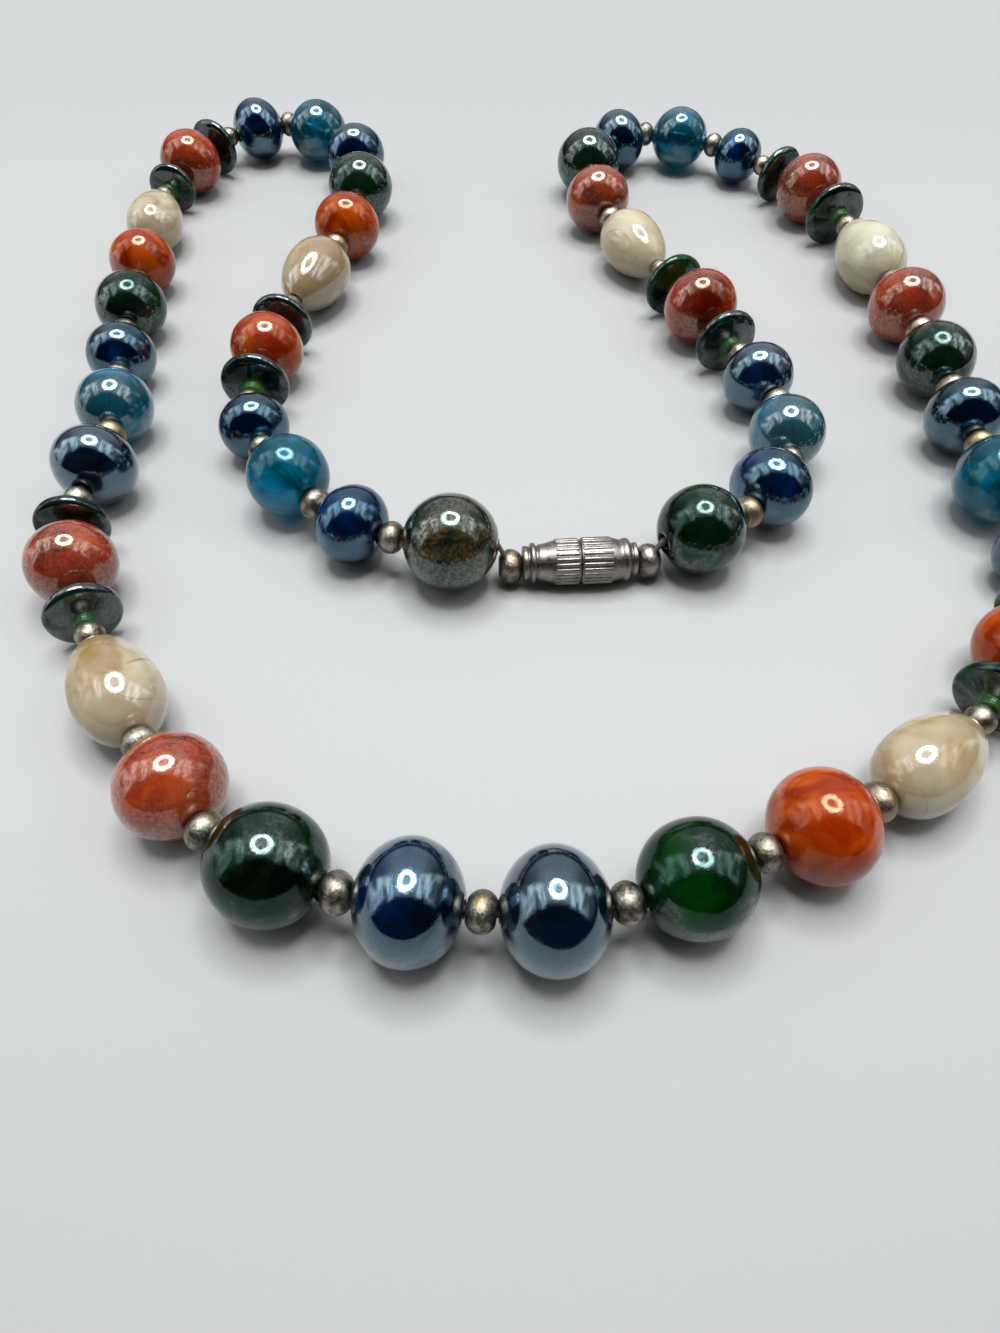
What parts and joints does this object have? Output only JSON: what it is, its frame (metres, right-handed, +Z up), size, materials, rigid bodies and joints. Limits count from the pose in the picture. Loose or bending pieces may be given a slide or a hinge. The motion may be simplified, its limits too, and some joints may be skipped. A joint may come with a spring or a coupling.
{
  "type": "beaded necklace",
  "caption": "Glass bead necklace with small metal spacers and a screw barrel clasp, laid doubled on a table",
  "frame": {"origin": "middle of the bottom of the necklace's box, on the table it lies on", "axes": "+Z up from the table, +Y from the front beads to the two turns at the back, +X to the right as seen from the front"},
  "size_m": [0.1316, 0.1652, 0.0121],
  "materials": {
    "glass_green": "dark bottle green pressed glass with a grey mottled lustre, polished",
    "glass_blue": "navy to cobalt pressed glass with steel grey streaks, polished",
    "glass_teal": "azure and turquoise glass with darker swirls and a silvery top, polished",
    "glass_orange": "coral orange translucent glass with pinkish pearly ends, polished",
    "glass_cream": "ivory pearl glass with an amber band along it, polished",
    "string_silver": "antique silver tone with brassy wear",
    "clasp_pewter": "warm grey pewter tone, ribbed, satin"
  },
  "bodies": {
    "root": {"blue_bead_left_02": "glass_blue", "blue_bead_left_04": "glass_blue", "blue_bead_left_11": "glass_blue", "blue_bead_left_13": "glass_blue", "blue_bead_left_20": "glass_blue", "blue_bead_left_22": "glass_blue", "blue_bead_left_29": "glass_blue", "blue_bead_right_02": "glass_blue", "blue_bead_right_04": "glass_blue", "blue_bead_right_11": "glass_blue", "blue_bead_right_13": "glass_blue", "blue_bead_right_20": "glass_blue", "blue_bead_right_22": "glass_blue", "blue_bead_right_29": "glass_blue", "cream_bead_left_08": "glass_cream", "cream_bead_left_17": "glass_cream", "cream_bead_left_26": "glass_cream", "cream_bead_right_08": "glass_cream", "cream_bead_right_17": "glass_cream", "cream_bead_right_26": "glass_cream", "green_bead_left_01": "glass_green", "green_bead_left_10": "glass_green", "green_bead_left_19": "glass_green", "green_bead_left_28": "glass_green", "green_bead_right_01": "glass_green", "green_bead_right_10": "glass_green", "green_bead_right_19": "glass_green", "green_bead_right_28": "glass_green", "orange_bead_left_06": "glass_orange", "orange_bead_left_09": "glass_orange", "orange_bead_left_15": "glass_orange", "orange_bead_left_18": "glass_orange", "orange_bead_left_24": "glass_orange", "orange_bead_left_27": "glass_orange", "orange_bead_right_06": "glass_orange", "orange_bead_right_09": "glass_orange", "orange_bead_right_15": "glass_orange", "orange_bead_right_18": "glass_orange", "orange_bead_right_24": "glass_orange", "orange_bead_right_27": "glass_orange", "teal_bead_left_03": "glass_teal", "teal_bead_left_12": "glass_teal", "teal_bead_left_21": "glass_teal", "teal_bead_right_03": "glass_teal", "teal_bead_right_12": "glass_teal", "teal_bead_right_21": "glass_teal", "string_left": "string_silver", "string_right": "string_silver", "clasp_left": "clasp_pewter", "clasp_right": "clasp_pewter"}
  },
  "joints": []
}
